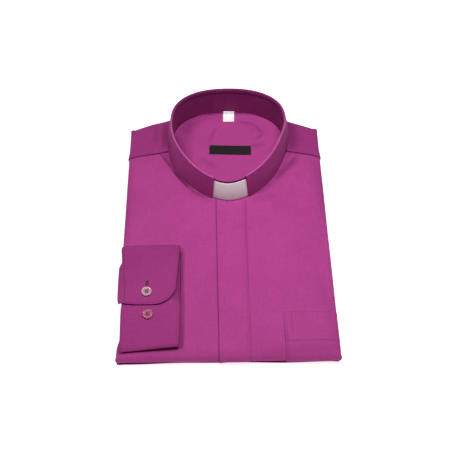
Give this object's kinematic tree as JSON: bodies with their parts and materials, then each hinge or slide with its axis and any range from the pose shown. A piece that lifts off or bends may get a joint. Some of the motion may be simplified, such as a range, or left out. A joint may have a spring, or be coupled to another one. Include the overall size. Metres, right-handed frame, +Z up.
{
  "type": "folded clergy shirt with tab collar",
  "caption": "Long-sleeved clergy shirt, buttoned and folded flat for display, with a standing tab collar, white collar tab, fly placket, pocket and one cuff laid on the front.",
  "frame": {"origin": "middle of the flat underside that the folded shirt lies on, halfway between the bottom fold and the shoulder corners", "axes": "+X across the folded shirt to the wearer's left front, +Y from the bottom fold to the collar, +Z up from the surface it lies on"},
  "size_m": [0.2539, 0.3663, 0.052],
  "materials": {
    "purple_shirting": "plain-woven poly-cotton shirting, soft matt sheen",
    "collar_cloth": "the same shirting fused and topstitched on the collar",
    "tab_plastic": "smooth semi-matt white",
    "button_pearl": "polished pearl, pinkish white",
    "button_rose": "polished, dark rose",
    "tag_satin": "white satin ribbon, bare",
    "label_black": "black woven ribbon, bare"
  },
  "bodies": {
    "root": {"folded_layers": "purple_shirting", "front_right": "purple_shirting", "front_left": "purple_shirting", "yoke": "purple_shirting", "fly_placket": "purple_shirting", "pocket": "purple_shirting", "collar_stand": "collar_cloth", "collar_leaf": "collar_cloth", "collar_tab": "tab_plastic", "cuff": "purple_shirting", "sleeve_right": "purple_shirting", "cuff_button_1": "button_pearl", "cuff_button_2": "button_rose", "size_tag": "tag_satin", "neck_label": "label_black"}
  },
  "joints": []
}
